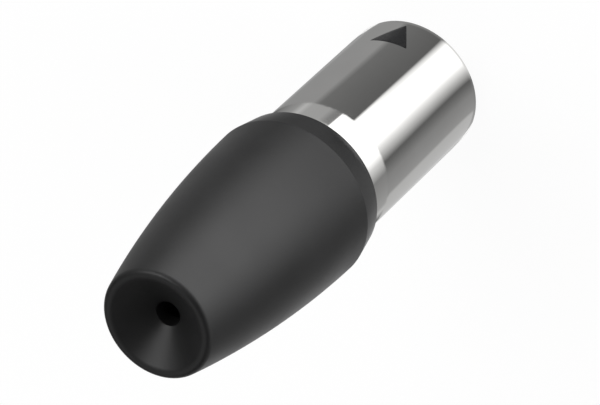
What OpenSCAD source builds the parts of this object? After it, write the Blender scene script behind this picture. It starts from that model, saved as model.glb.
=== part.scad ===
// Three-pole XLR cable plug for outdoor use, in millimetres.
// It stands on its front rim: z = 0 is the rim, +Z runs to the cable end, +Y is the key side.

/* [Shell] */
// Outside diameter of the metal shell
shell_d = 19; // [18.4:0.1:20]
// Length of shell that shows in front of the boot
shell_len = 29.2; // [27:0.1:33]
// Wall of the shell round the socket
socket_wall = 1.45; // [1.3:0.05:1.6]
// Depth of the socket, from the rim to the face of the insert
socket_depth = 15; // [13.5:0.1:16.5]
// Thickness of the wall at the bottom of the socket
web_t = 1.5; // [1:0.1:2.5]
// How far that wall stands in from the tail bore
web_lip = 1; // [0.6:0.1:1.2]
// Rounding of the rim's outer edge
rim_round = 0.3; // [0.1:0.05:0.5]
// Chamfer at the socket's mouth
lead_in = 0.4; // [0.1:0.05:0.6]
// Length of the tapered band beside the boot
band_len = 5; // [3:0.1:7]
// Fall of the band's radius towards the boot
band_drop = 0.1; // [0.02:0.01:0.15]

/* [Latch and key] */
// Distance from the rim to the latch recess
latch_z = 3; // [2:0.1:4]
// Length of the latch recess
latch_len = 3.5; // [2.5:0.1:4.5]
// Width of the latch recess
latch_w = 6; // [4:0.1:7]
// Depth of the latch recess into the wall
latch_depth = 0.75; // [0.4:0.05:0.9]
// Distance from the rim to the guide key
key_z = 8; // [7.8:0.1:10]
// Width of the guide key
key_w = 2.4; // [1.6:0.1:3]
// Height of the guide key
key_h = 0.8; // [0.5:0.05:1]

/* [Threaded tail] */
// Length of the tail inside the boot
tail_len = 10; // [9:0.1:12]
// Step from the shell's outside down to the thread
shoulder_h = 0.65; // [0.4:0.05:0.8]
// Depth of the thread
thread_depth = 0.6; // [0.4:0.05:0.7]
// Length of the plain land that guides the boot
pilot_len = 4; // [3.4:0.1:5]
// Wall of the tail under the thread
tail_wall = 1.25; // [1.1:0.05:1.4]
// Width of the two keyways in the tail bore
keyway_w = 2.4; // [1.8:0.1:3]
// Depth of the keyways
keyway_depth = 0.55; // [0.3:0.05:0.7]

/* [Seals] */
// Thickness of the gasket at the bottom of the socket
gasket_t = 0.8; // [0.5:0.1:1.2]
// Width of the O-ring's groove
oring_w = 1.2; // [0.9:0.1:1.5]
// Depth of the O-ring's groove
oring_depth = 0.75; // [0.5:0.05:0.9]
// Distance from the shoulder to the O-ring's groove
oring_z = 1.3; // [0.8:0.1:1.7]
// Length of the cable gland
gland_len = 9; // [7:0.1:9.5]
// Wall of the cable gland
gland_wall = 1.57; // [1.2:0.01:1.7]
// Height of the gland's sealing ribs
gland_rib = 0.25; // [0.1:0.05:0.4]

/* [Contacts] */
// Diameter of a contact pin
pin_d = 2.36; // [2.3:0.02:2.4]
// Diameter of a contact's shank inside the insert
shank_d = 2.8; // [2.75:0.05:2.9]
// Distance of the pins' axes from the edge of the insert's face
pin_margin = 1.97; // [1.8:0.01:2.3]
// Angle of pins 1 and 2 above the line across the middle
pin_angle = 17.8; // [16:0.1:20]
// How far the tips stay back from the rim
pin_recess = 2; // [1:0.1:3]
// Diameter of the collar that holds a pin in the insert
collar_d = 3.2; // [2.8:0.1:3.4]
// Length of that collar
collar_len = 2; // [1.5:0.1:2.5]
// Outside diameter of a solder cup
cup_d = 2.7; // [2.5:0.1:3]
// Bore of a solder cup
cup_bore_d = 1.9; // [1.5:0.1:2]
// Length of a solder cup
cup_len = 6.5; // [5:0.1:7.5]
// Thickness of the ground contact's strip
strip_t = 0.35; // [0.25:0.05:0.45]
// Width of the ground contact's strip
strip_w = 2.2; // [1.8:0.1:2.6]
// Depth of the strip's seat in the insert's side
strip_depth = 1.1; // [0.9:0.05:1.3]
// Length of the flat foot at each end of the strip's bow
strip_foot = 1; // [0.6:0.1:1.5]
// Length of each ramp of the bow
strip_ramp = 1.6; // [1:0.1:1.8]
// Length of the bow's flat crest
strip_crest = 2; // [1:0.1:2.4]
// Step from the strip's seat in to its solder tab
strip_jog = 1.5; // [1:0.1:1.8]
// Length of the solder tab
strip_tab_len = 6.1; // [4.5:0.1:7]
// Diameter of the hole in the solder tab
strip_hole_d = 0.9; // [0.6:0.1:1.2]

/* [Insert] */
// Length of the insert behind the socket's wall
insert_len = 11.5; // [10.5:0.1:12.5]
// Depth of the pockets round the solder cups
pocket_depth = 3; // [2.4:0.1:3.6]
// Clearance of a pocket round its cup
pocket_gap = 0.6; // [0.4:0.05:0.8]
// Thickness of the fins between the solder cups
fin_t = 0.8; // [0.6:0.1:1]
// How far the fins stand out behind the insert
fin_len = 3.5; // [2.5:0.1:4.5]

/* [Chuck] */
// Wall of the chuck's front skirt
skirt_wall = 1; // [0.8:0.05:1.1]
// Thickness of the chuck's thrust collar
thrust_t = 1.5; // [1:0.1:2]
// Length of the chuck's fingers
finger_len = 12; // [10:0.1:13]
// Number of fingers
finger_count = 4; // [3:1:5]
// Width of the slots between fingers
slot_w = 1; // [0.7:0.1:1.4]
// Wall of the fingers at their tips
finger_wall = 1.7; // [1.3:0.05:2]

/* [Boot] */
// How far the boot's widest edge stands out from the shell
boot_rise = 1.8; // [1.6:0.05:2.4]
// Length of the boot
boot_len = 36.45; // [35:0.05:39]
// Length of the bevel at the boot's front
bevel_len = 4; // [2:0.1:5]
// Height of that bevel
bevel_h = 0.75; // [0.3:0.05:0.9]
// Radius of the long curve of the boot's side
side_r = 160; // [145:1:200]
// How far the curve's widest point would lie in front of the bevel's edge
side_lead = 3.1; // [1:0.1:5]
// Rounding of the rear edge
rear_round = 0.6; // [0.3:0.05:0.8]
// Width of the rear lip between the outside and the funnel
lip_w = 0.95; // [0.8:0.05:1.2]
// Rounding of the lip's inner edge
lip_round = 0.5; // [0.2:0.05:0.6]
// Depth of the funnel
funnel_depth = 2.95; // [2:0.05:3.5]
// Diameter of the cable hole
entry_d = 3.3; // [3:0.1:4.5]
// Length of the cable hole
entry_len = 2; // [1.5:0.1:3]
// Wall of the soft cover over the nut
cover_wall = 1.3; // [1.1:0.05:1.35]
// Thickness of the cover's front seal lip
seal_t = 0.5; // [0.4:0.05:0.8]
// Wall of the hard nut round the fingers
nut_wall = 1.6; // [1.3:0.1:2]
// Depth of the ring grooves that anchor the cover
anchor_depth = 0.4; // [0.2:0.05:0.5]
// Width of those ring grooves
anchor_w = 1; // [0.6:0.1:1.3]
// Number of ring grooves
anchor_count = 3; // [2:1:3]

/* [Fits] */
// Radial clearance of the insert in the shell
insert_fit = 0.03; // [0.01:0.01:0.06]
// Radial clearance of the chuck in the tail
chuck_fit = 0.08; // [0.04:0.01:0.1]
// Radial clearance of the nut on the guide land
pilot_fit = 0.05; // [0.02:0.01:0.08]
// Play along the axis between seated pieces
seat_gap = 0.1; // [0.05:0.01:0.15]
// Clearance round the fingers inside the nut
cone_gap = 0.15; // [0.1:0.01:0.25]

/* [Hidden] */
$fn = 96;

cut = 1;
shell_r = shell_d / 2;
socket_r = shell_r - socket_wall;
thread_r = shell_r - shoulder_h;
root_r = thread_r - thread_depth;
tail_bore_r = root_r - tail_wall;
web_bore_r = tail_bore_r - web_lip;
web_rear = socket_depth + web_t;
tail_end = shell_len + tail_len;
tail_chamfer = 0.4;
band_z = shell_len - band_len;

insert_r = tail_bore_r - insert_fit;
nose_r = web_bore_r - insert_fit;
insert_rear = web_rear + insert_len;
lug_len = 4;
lug_r = tail_bore_r + keyway_depth - insert_fit;
lug_w = keyway_w - 2 * insert_fit;
fin_r = 3.8;

pin_r = pin_d / 2;
pin_circle_r = nose_r - pin_margin;
pin_1_at = pin_circle_r * [cos(pin_angle), sin(pin_angle)];
pin_2_at = pin_circle_r * [-cos(pin_angle), sin(pin_angle)];
pin_3_at = [0, -pin_circle_r];
cup_z = insert_rear - pocket_depth;
collar_z = (web_rear + cup_z - collar_len) / 2;

strip_side = 0.05;
strip_floor = insert_r - strip_depth;
strip_bow = sqrt(pow(tail_bore_r, 2) - pow(strip_w / 2, 2)) - strip_side / 2 - strip_t;
strip_tab = strip_floor - strip_jog;
strip_step = insert_rear - pocket_depth;
strip_end = strip_step + strip_tab_len;
crest_rear = strip_step - strip_foot - strip_ramp;
crest_front = crest_rear - strip_crest;
strip_z = crest_front - strip_ramp - strip_foot;

entry_r = entry_d / 2;
gasket_in = web_bore_r + 0.1;
gasket_out = socket_r - key_h - 0.05;
oring_at = shell_len + oring_z;
oring_floor = thread_r - oring_depth;

chuck_front = insert_rear + seat_gap / 2;
chuck_r = tail_bore_r - chuck_fit;
skirt_r = chuck_r - skirt_wall;
thrust_z = tail_end + 2 * seat_gap;
thrust_r = (root_r + tail_bore_r) / 2;
cone_z = thrust_z + thrust_t;
cone_r = chuck_r - 0.3;
chuck_rear = cone_z + finger_len;
grip_r = entry_r + gland_wall;
tip_r = grip_r + finger_wall;
grip_z = chuck_rear - gland_len - 0.8;
finger_root = cone_z + 0.8;
chuck_lug_r = tail_bore_r + keyway_depth - chuck_fit;
chuck_lug_w = keyway_w - 2 * chuck_fit;
chuck_lug_z = chuck_front + 1;
chuck_lug_len = 6;

boot_r = shell_r + boot_rise;
boot_front = shell_len + seat_gap;
boot_rear = boot_front + boot_len;
bevel_z = boot_front + bevel_len;
side_z = bevel_z - side_lead;
side_x = boot_r - sqrt(pow(side_r, 2) - pow(side_lead, 2));
front_round = 0.2;

nut_front = boot_front + seal_t;
nut_r = boot_r - cover_wall;
nut_thread_r = thread_r + 0.1;
nut_thread_end = tail_end + seat_gap;
nut_pilot_r = thread_r + pilot_fit;
nut_seat = cone_z + seat_gap / 2;
nut_seat_r = thrust_r + cone_gap;
nut_rear = chuck_rear + 2;
nut_step = nut_seat + nut_wall;
nut_neck_r = cone_r + cone_gap + nut_wall;
nut_rear_r = tip_r + cone_gap + nut_wall;
mouth_r = tip_r - 0.4;
anchor_start = nut_front + 2;
anchor_pitch = (nut_thread_end - anchor_start) / anchor_count;

entry_z = boot_rear - funnel_depth;
throat_z = entry_z - entry_len;
lip_r = side_at(boot_rear) - lip_w;

// Radius of the boot's side at height z, on its long circular arc
function side_at(z) = side_x + sqrt(pow(side_r, 2) - pow(z - side_z, 2));

// Unit vector along v
function unit(v) = v / norm(v);

// What a round of radius r takes off an outer corner p, whose edges leave it along a and b
module corner_off(p, a, b, r) {
    ua = unit(a);
    ub = unit(b);
    half = acos(ua * ub) / 2;
    c = p + unit(ua + ub) * r / sin(half);
    pa = p + ua * r / tan(half);
    pb = p + ub * r / tan(half);
    difference() {
        polygon([c, c + 1.3 * (pa - c), p + 0.3 * (p - c), c + 1.3 * (pb - c)]);
        translate(c) circle(r);
    }
}

// A ring section from radius a to radius b, between heights low and high
module ring_section(a, b, low, high) {
    translate([a, low]) square([b - a, high - low]);
}

// Outer section of the boot: bevel, long arc and rounded rear edge
module boot_outline() {
    fillet_z = boot_rear - rear_round;
    fillet_x = side_x + sqrt(pow(side_r - rear_round, 2) - pow(fillet_z - side_z, 2));
    out = unit([fillet_x - side_x, fillet_z - side_z]);
    c = [fillet_x, fillet_z];
    difference() {
        intersection() {
            translate([side_x, side_z]) circle(side_r, $fn = 720);
            ring_section(0, boot_r + cut, boot_front, boot_rear);
        }
        polygon([[boot_r, bevel_z], [boot_r - bevel_h, boot_front],
                 [boot_r - bevel_h, boot_front - cut], [boot_r + cut, boot_front - cut],
                 [boot_r + cut, bevel_z]]);
        corner_off([boot_r - bevel_h, boot_front], [-1, 0], [bevel_h, bevel_len], front_round);
        difference() {
            polygon([c, c + 1.5 * rear_round * out, c + 2 * rear_round * unit(out + [0, 1]),
                     c + [0, 1.5 * rear_round]]);
            translate(c) circle(rear_round);
        }
    }
}

// Outer section of the hard nut, solid to the axis
module nut_outline() {
    difference() {
        polygon([[0, nut_front], [nut_r, nut_front], [nut_r, nut_seat], [nut_neck_r, nut_step],
                 [nut_rear_r, nut_rear], [0, nut_rear]]);
        for (i = [0:anchor_count - 1])
            ring_section(nut_r - anchor_depth, nut_r + cut, anchor_start + i * anchor_pitch,
                         anchor_start + i * anchor_pitch + anchor_w);
    }
}

// One contact: rounded tip, shank, holding collar and open solder cup
module contact(at) {
    cup_end = cup_z + cup_len;
    translate([at.x, at.y, 0]) difference() {
        rotate_extrude() {
            intersection() {
                translate([0, pin_recess + pin_r]) circle(pin_r);
                ring_section(0, pin_r, pin_recess, pin_recess + pin_r);
            }
            ring_section(0, pin_r, pin_recess + pin_r, socket_depth);
            ring_section(0, shank_d / 2, socket_depth, cup_z);
            ring_section(0, collar_d / 2, collar_z, collar_z + collar_len);
            ring_section(0, cup_d / 2, cup_z, cup_end);
        }
        translate([0, 0, cup_z + 2]) cylinder(r = cup_bore_d / 2, h = cup_len);
        // Half of the cup's end is cut away so that the wire lies in from the outside
        rotate(atan2(at.y, at.x))
            translate([0, -cup_d, cup_end - 0.45 * cup_len]) cube([cup_d, 2 * cup_d, cup_len]);
    }
}

module shell() {
    color("silver") difference() {
        union() {
            rotate_extrude() difference() {
                union() {
                    ring_section(web_bore_r, shell_r, 0, band_z);
                    polygon([[web_bore_r, band_z], [shell_r, band_z],
                             [shell_r - band_drop, shell_len], [web_bore_r, shell_len]]);
                    ring_section(web_bore_r, thread_r, shell_len, shell_len + pilot_len);
                    ring_section(web_bore_r, root_r, shell_len + pilot_len, tail_end);
                }
                ring_section(0, socket_r, -cut, socket_depth);
                ring_section(0, tail_bore_r, web_rear, tail_end + cut);
                ring_section(oring_floor, thread_r + cut, oring_at, oring_at + oring_w);
                corner_off([shell_r, 0], [-1, 0], [0, 1], rim_round);
                polygon([[socket_r - cut, -cut], [socket_r + lead_in + cut, -cut],
                         [socket_r, lead_in], [socket_r - cut, lead_in]]);
                polygon([[root_r - tail_chamfer, tail_end], [root_r, tail_end - tail_chamfer],
                         [root_r + cut, tail_end - tail_chamfer], [root_r + cut, tail_end + cut],
                         [root_r - tail_chamfer, tail_end + cut]]);
            }
            // Guide key inside the socket
            translate([-key_w / 2, socket_r - key_h, key_z])
                cube([key_w, key_h + (shell_r - socket_r) / 2, web_rear - key_z]);
        }
        // Blind recess for the mate's latch
        translate([-latch_w / 2, socket_r - cut, latch_z])
            cube([latch_w, latch_depth + cut, latch_len]);
        // Two keyways through the tail bore
        translate([-tail_bore_r - keyway_depth, -keyway_w / 2, web_rear])
            cube([2 * (tail_bore_r + keyway_depth), keyway_w, tail_end]);
    }
}

module insert() {
    color("#1c1c1e") difference() {
        union() {
            translate([0, 0, socket_depth]) cylinder(r = nose_r, h = web_t);
            translate([0, 0, web_rear]) cylinder(r = insert_r, h = insert_len);
            // Lugs in the shell's keyways
            translate([-lug_r, -lug_w / 2, web_rear]) cube([2 * lug_r, lug_w, lug_len]);
            // Fins that keep the solder cups apart
            for (a = [90, 216, 324])
                rotate(a) translate([0, -fin_t / 2, insert_rear - pocket_depth])
                    cube([fin_r, fin_t, pocket_depth + fin_len]);
        }
        for (at = [pin_1_at, pin_2_at, pin_3_at]) {
            contact(at);
            translate([at.x, at.y, cup_z]) cylinder(r = cup_d / 2 + pocket_gap, h = pocket_depth + cut);
        }
        // Seat of the ground contact, open to the shell's bore
        translate([-strip_w / 2 - strip_side, strip_floor, strip_z])
            cube([strip_w + 2 * strip_side, insert_r, insert_len]);
        translate([-strip_w / 2 - strip_side, strip_tab, strip_step])
            cube([strip_w + 2 * strip_side, insert_r, insert_len]);
    }
}

module pin_1() {
    color("gold") contact(pin_1_at);
}

module pin_2() {
    color("gold") contact(pin_2_at);
}

module pin_3() {
    color("gold") contact(pin_3_at);
}

// Bent strip: bowed against the shell, then stepped in to a solder tab
module ground_contact() {
    line = [[strip_z, strip_floor], [strip_z + strip_foot, strip_floor], [crest_front, strip_bow],
            [crest_rear, strip_bow], [strip_step - strip_foot, strip_floor]];
    // The far side of the sheet, one thickness outwards
    back = [for (i = [len(line) - 1:-1:0]) line[i] + [0, strip_t]];
    color("goldenrod") difference() {
        translate([-strip_w / 2, 0, 0]) rotate([0, -90, 180]) mirror([0, 1, 0]) linear_extrude(strip_w)
            polygon(concat(line, [[strip_step, strip_floor], [strip_step, strip_tab], [strip_end, strip_tab],
                                  [strip_end, strip_tab + strip_t],
                                  [strip_step + strip_t, strip_tab + strip_t],
                                  [strip_step + strip_t, strip_floor + strip_t]], back));
        translate([0, 0, strip_end - 1.2 * strip_hole_d]) rotate([90, 0, 0])
            cylinder(r = strip_hole_d / 2, h = 2 * shell_d, center = true);
    }
}

module face_gasket() {
    color("#2a2a2c") rotate_extrude() difference() {
        ring_section(gasket_in, gasket_out, socket_depth - gasket_t, socket_depth);
        for (x = [gasket_in, gasket_out])
            corner_off([x, socket_depth - gasket_t], [x == gasket_in ? 1 : -1, 0], [0, 1],
                       gasket_t / 4);
    }
}

module shell_o_ring() {
    // The cord is pressed to a flattened section that fills its groove
    color("#202022") rotate_extrude() difference() {
        ring_section(oring_floor, thread_r, oring_at, oring_at + oring_w);
        for (side = [0, 1])
            corner_off([thread_r, oring_at + side * oring_w], [-1, 0], [0, 1 - 2 * side],
                       oring_w / 3);
    }
}

module chuck() {
    color("#e8e6df") difference() {
        union() {
            rotate_extrude() polygon([
                [skirt_r, chuck_front], [chuck_r, chuck_front], [chuck_r, thrust_z],
                [thrust_r, thrust_z], [thrust_r, cone_z], [cone_r, cone_z],
                [tip_r, chuck_rear], [grip_r + 0.4, chuck_rear], [grip_r, chuck_rear - 0.8],
                [grip_r, grip_z], [skirt_r, cone_z], [skirt_r, chuck_front]]);
            // Lugs that slide in the shell's keyways
            difference() {
                translate([-chuck_lug_r, -chuck_lug_w / 2, chuck_lug_z])
                    cube([2 * chuck_lug_r, chuck_lug_w, chuck_lug_len]);
                translate([0, 0, chuck_lug_z - cut]) cylinder(r = skirt_r, h = chuck_lug_len + 2 * cut);
            }
        }
        for (i = [0:finger_count - 1])
            rotate((i + 0.5) * 360 / finger_count)
                translate([0, -slot_w / 2, finger_root]) cube([thrust_r + cut, slot_w, finger_len]);
    }
}

module gland_seal() {
    bore_r = entry_r - gland_rib / 2;
    end_z = grip_z + gland_len;
    rib_pitch = gland_len / 4;
    color("#303034") rotate_extrude() difference() {
        ring_section(bore_r, grip_r, grip_z, end_z);
        for (i = [0:3])
            ring_section(0, bore_r + gland_rib, grip_z + (i + 0.3) * rib_pitch,
                         grip_z + (i + 0.8) * rib_pitch);
        corner_off([grip_r, end_z], [-1, 0], [0, -1], gland_rib);
    }
}

module boot_nut() {
    color("#26262a") rotate_extrude() difference() {
        nut_outline();
        ring_section(0, nut_pilot_r, nut_front - cut, shell_len + pilot_len);
        ring_section(0, nut_thread_r, shell_len + pilot_len, nut_thread_end);
        ring_section(0, nut_seat_r, nut_thread_end, nut_seat);
        polygon([[0, nut_seat - cut], [cone_r + cone_gap, nut_seat - cut],
                 [cone_r + cone_gap, nut_seat], [tip_r + cone_gap, chuck_rear + seat_gap],
                 [0, chuck_rear + seat_gap]]);
        ring_section(0, mouth_r, chuck_rear, nut_rear + cut);
    }
}

module boot_cover() {
    color("#1b1b1d") rotate_extrude() difference() {
        boot_outline();
        nut_outline();
        ring_section(0, nut_pilot_r + pilot_fit, boot_front - cut, nut_front);
        polygon([[0, nut_rear - cut], [mouth_r, nut_rear - cut], [mouth_r, nut_rear + cut],
                 [entry_r, throat_z], [entry_r, entry_z], [lip_r, boot_rear],
                 [lip_r, boot_rear + cut], [0, boot_rear + cut]]);
        corner_off([lip_r, boot_rear], [1, 0], [entry_r - lip_r, entry_z - boot_rear], lip_round);
    }
}

shell();
insert();
pin_1();
pin_2();
pin_3();
ground_contact();
face_gasket();
shell_o_ring();
chuck();
gland_seal();
boot_nut();
boot_cover();
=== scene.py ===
"""Looks of a three-pole outdoor XLR cable plug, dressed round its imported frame.

The plug stands on its shell's front rim: +Z runs to the cable end, +Y is the key and arrow side.
Lengths are in metres unless a name ends in _mm. Turned pieces are grids of (row along a closed
profile) by (column round the axis), worked out as whole numpy arrays.
"""
import logging
from dataclasses import dataclass, field
from enum import Enum
from math import asin, atan2, cos, degrees, pi, radians, sin

import bmesh
import bpy
import numpy as np
from mathutils import Matrix, Vector


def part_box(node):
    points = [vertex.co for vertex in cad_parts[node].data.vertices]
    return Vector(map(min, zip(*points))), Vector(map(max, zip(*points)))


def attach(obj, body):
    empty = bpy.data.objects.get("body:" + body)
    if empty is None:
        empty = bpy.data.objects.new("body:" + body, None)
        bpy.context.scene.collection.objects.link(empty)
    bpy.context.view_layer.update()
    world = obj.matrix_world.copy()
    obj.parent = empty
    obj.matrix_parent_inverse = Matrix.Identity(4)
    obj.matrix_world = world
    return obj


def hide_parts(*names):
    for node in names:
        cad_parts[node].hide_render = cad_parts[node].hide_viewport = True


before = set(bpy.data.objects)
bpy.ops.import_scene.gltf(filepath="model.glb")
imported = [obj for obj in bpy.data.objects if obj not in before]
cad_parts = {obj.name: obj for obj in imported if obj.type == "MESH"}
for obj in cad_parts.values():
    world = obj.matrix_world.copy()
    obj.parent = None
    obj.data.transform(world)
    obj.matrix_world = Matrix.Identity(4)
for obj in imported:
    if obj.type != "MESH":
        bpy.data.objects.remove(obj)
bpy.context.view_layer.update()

LOG = logging.getLogger("plug")
MM = 0.001


class Body(Enum):
    """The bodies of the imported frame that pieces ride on."""

    SHELL = "root"
    CLAMP = "clamp"
    BOOT = "boot"


class Side(Enum):
    """Angles round the axis, in radians, of the features that are cut at one side."""

    KEY = pi / 2
    KEYWAY_RIGHT = 0.0
    KEYWAY_LEFT = pi


# Node graphs


class Graph:
    """A material's node tree, with short calls to add and join nodes."""

    def __init__(self, name: str) -> None:
        """Starts an empty material of that name.

        Args:
            name: the material's name.
        """
        self.material = bpy.data.materials.new(name)
        self.material.use_nodes = True
        self.tree = self.material.node_tree
        self.tree.nodes.clear()
        self.output = self.tree.nodes.new("ShaderNodeOutputMaterial")
        self.coords = self.tree.nodes.new("ShaderNodeTexCoord").outputs["Object"]

    def add(self, kind: str, settings: dict | None = None, **inputs: object) -> bpy.types.Node:
        """Adds one node.

        Args:
            kind: the node's type, without the ShaderNode that all share.
            settings: attributes of the node itself.
            inputs: values or sockets for its inputs, by name, with _ for a space.

        Returns:
            The node.
        """
        node = self.tree.nodes.new("ShaderNode" + kind)
        for key, value in (settings or {}).items():
            setattr(node, key, value)
        for key, value in inputs.items():
            self.put(node.inputs[key.replace("_", " ")], value)
        return node

    def put(self, socket: bpy.types.NodeSocket, value: object) -> None:
        """Sets a socket to a value, or joins another socket to it.

        Args:
            socket: the input.
            value: a plain value or an output socket.
        """
        if isinstance(value, bpy.types.NodeSocket):
            self.tree.links.new(value, socket)
        else:
            socket.default_value = value

    def noise(self, scale: float, detail: float = 3.0, stretch: tuple = (1.0, 1.0, 1.0)) -> bpy.types.NodeSocket:
        """Noise in the piece's own coordinates.

        Args:
            scale: cells in a metre.
            detail: octaves of finer noise.
            stretch: factors on the x, y and z coordinates.

        Returns:
            The noise's value, from 0 to 1.
        """
        place = self.add("Mapping", Vector=self.coords, Scale=stretch)
        return self.add("TexNoise", Vector=place.outputs[0], Scale=scale, Detail=detail).outputs[0]

    def remap(self, value: bpy.types.NodeSocket, low: float, high: float) -> bpy.types.NodeSocket:
        """Spreads the middle of a noise value over low to high.

        Args:
            value: the noise, of which 0.3 to 0.7 is used.
            low: what 0.3 becomes.
            high: what 0.7 becomes.

        Returns:
            The spread value.
        """
        node = self.add("MapRange", Value=value, From_Min=0.3, From_Max=0.7, To_Min=low, To_Max=high)
        return node.outputs[0]

    def blend(self, value: bpy.types.NodeSocket, dark: tuple, light: tuple) -> bpy.types.NodeSocket:
        """Mixes two colours by a value from 0 to 1.

        Args:
            value: the share of the second colour.
            dark: the first colour.
            light: the second colour.

        Returns:
            The mixed colour.
        """
        node = self.add("Mix", {"data_type": "RGBA"})
        self.put(node.inputs[0], value)
        self.put(node.inputs[6], (*dark, 1.0))
        self.put(node.inputs[7], (*light, 1.0))
        return node.outputs[2]

    def bump(self, height: bpy.types.NodeSocket, strength: float, distance_mm: float,
             after: bpy.types.NodeSocket | None = None) -> bpy.types.NodeSocket:
        """Turns a height into a bumped normal.

        Args:
            height: the height, from 0 to 1.
            strength: how much of the bump is used.
            distance_mm: how high a height of 1 stands.
            after: a normal that this bump lies on.

        Returns:
            The normal.
        """
        node = self.add("Bump", Height=height, Strength=strength, Distance=distance_mm * MM)
        if after is not None:
            self.put(node.inputs["Normal"], after)
        return node.outputs[0]

    def shade(self, **inputs: object) -> bpy.types.Material:
        """Closes the graph with a Principled shader.

        Args:
            inputs: the shader's values or sockets by name, with _ for a space.

        Returns:
            The finished material.
        """
        shader = self.add("BsdfPrincipled", **inputs)
        self.put(self.output.inputs["Surface"], shader.outputs[0])
        return self.material


# Finishes


@dataclass(frozen=True)
class PolishedMetal:
    """Plated, polished metal: even colour, faint turning lines and a slow waviness."""

    name: str
    slot: str
    colour: tuple[float, float, float]
    tarnish: tuple[float, float, float]
    smooth: float = 0.045
    hazy: float = 0.085
    wave_mm: float = 0.0006
    line_mm: float = 0.00006

    def material(self) -> bpy.types.Material:
        """Colour follows a large noise, roughness a mid one, bump turning lines round the axis.

        Returns:
            The material.
        """
        g = Graph(self.name)
        cloud = g.noise(160.0, 2.0)
        haze = g.noise(900.0, 4.0)
        lines = g.noise(260.0, 3.0, (0.6, 0.6, 90.0))
        wave = g.noise(210.0, 1.0)
        normal = g.bump(lines, 0.25, self.line_mm, g.bump(wave, 0.5, self.wave_mm))
        return g.shade(
            Base_Color=g.blend(g.remap(cloud, 0.0, 1.0), self.tarnish, self.colour),
            Roughness=g.remap(haze, self.smooth, self.hazy),
            Metallic=1.0,
            Normal=normal,
        )


@dataclass(frozen=True)
class SoftTouch:
    """Matte moulded elastomer: fine eroded grain, slight cloudiness, a trace of dust and sheen."""

    name: str
    slot: str
    colour: tuple[float, float, float]
    worn: tuple[float, float, float]
    rough_low: float = 0.50
    rough_high: float = 0.62
    grain_mm: float = 0.012
    grain_scale: float = 9000.0
    sheen: float = 0.0
    specular: float = 0.5

    def material(self) -> bpy.types.Material:
        """Two noises make the grain's bump; a slow one moves colour and roughness.

        Returns:
            The material.
        """
        g = Graph(self.name)
        cloud = g.noise(190.0, 4.0)
        grain = g.noise(self.grain_scale, 2.0)
        pores = g.noise(self.grain_scale * 0.35, 3.0)
        normal = g.bump(grain, 0.35, self.grain_mm, g.bump(pores, 0.3, self.grain_mm))
        return g.shade(
            Base_Color=g.blend(g.remap(cloud, 0.0, 1.0), self.colour, self.worn),
            Roughness=g.remap(cloud, self.rough_low, self.rough_high),
            Specular_IOR_Level=self.specular,
            Sheen_Weight=self.sheen,
            Sheen_Roughness=0.4,
            Normal=normal,
        )


@dataclass(frozen=True)
class MouldedPlastic:
    """Injection-moulded plastic: low flow waviness under a fine spark-eroded grain."""

    name: str
    slot: str
    colour: tuple[float, float, float]
    flow: tuple[float, float, float]
    rough_low: float = 0.34
    rough_high: float = 0.46
    grain_mm: float = 0.006
    subsurface: float = 0.0

    def material(self) -> bpy.types.Material:
        """A slow noise makes flow shades and roughness, a fine one the grain.

        Returns:
            The material.
        """
        g = Graph(self.name)
        flow = g.noise(240.0, 3.0, (1.0, 1.0, 0.4))
        grain = g.noise(7000.0, 2.0)
        return g.shade(
            Base_Color=g.blend(g.remap(flow, 0.0, 1.0), self.colour, self.flow),
            Roughness=g.remap(flow, self.rough_low, self.rough_high),
            Subsurface_Weight=self.subsurface,
            Subsurface_Scale=0.002,
            Normal=g.bump(grain, 0.4, self.grain_mm, g.bump(flow, 0.2, 0.02)),
        )


@dataclass(frozen=True)
class MarkingInk:
    """Thin dark enamel of the arrow mark, slightly uneven."""

    name: str
    slot: str
    colour: tuple[float, float, float]
    thin: tuple[float, float, float]

    def material(self) -> bpy.types.Material:
        """Noise varies how thickly the enamel lies.

        Returns:
            The material.
        """
        g = Graph(self.name)
        spread = g.noise(1500.0, 4.0)
        return g.shade(
            Base_Color=g.blend(g.remap(spread, 0.0, 1.0), self.colour, self.thin),
            Roughness=g.remap(spread, 0.14, 0.22),
            Normal=g.bump(spread, 0.3, 0.0015),
        )


NICKEL = PolishedMetal("polished_nickel", "nickel", (0.80, 0.795, 0.78), (0.765, 0.76, 0.745))
GOLD = PolishedMetal("gold_plate", "contact_gold", (0.90, 0.66, 0.27), (0.80, 0.55, 0.20), 0.09, 0.16)
BRONZE = PolishedMetal("tinned_bronze", "spring_bronze", (0.72, 0.66, 0.54), (0.60, 0.52, 0.40), 0.22, 0.34)
COVER = SoftTouch("soft_touch_black", "soft_cover", (0.011, 0.011, 0.0112), (0.014, 0.014, 0.0143), 0.38, 0.45)
SEAL = SoftTouch("seal_rubber", "seal_rubber", (0.022, 0.022, 0.023), (0.034, 0.034, 0.035), 0.55, 0.7, 0.01, 5000.0)
CARRIER = MouldedPlastic("insert_nylon", "insert_nylon", (0.020, 0.020, 0.021), (0.028, 0.028, 0.030))
BUSH = MouldedPlastic("nut_nylon", "nut_plastic", (0.028, 0.028, 0.030), (0.040, 0.040, 0.043), 0.42, 0.55)
ACETAL = MouldedPlastic("chuck_acetal", "chuck_acetal", (0.80, 0.79, 0.75), (0.86, 0.855, 0.82), 0.30, 0.42, 0.004, 0.15)
INK = MarkingInk("arrow_enamel", "nickel", (0.018, 0.018, 0.019), (0.027, 0.027, 0.028))

# Surfaces


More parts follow.
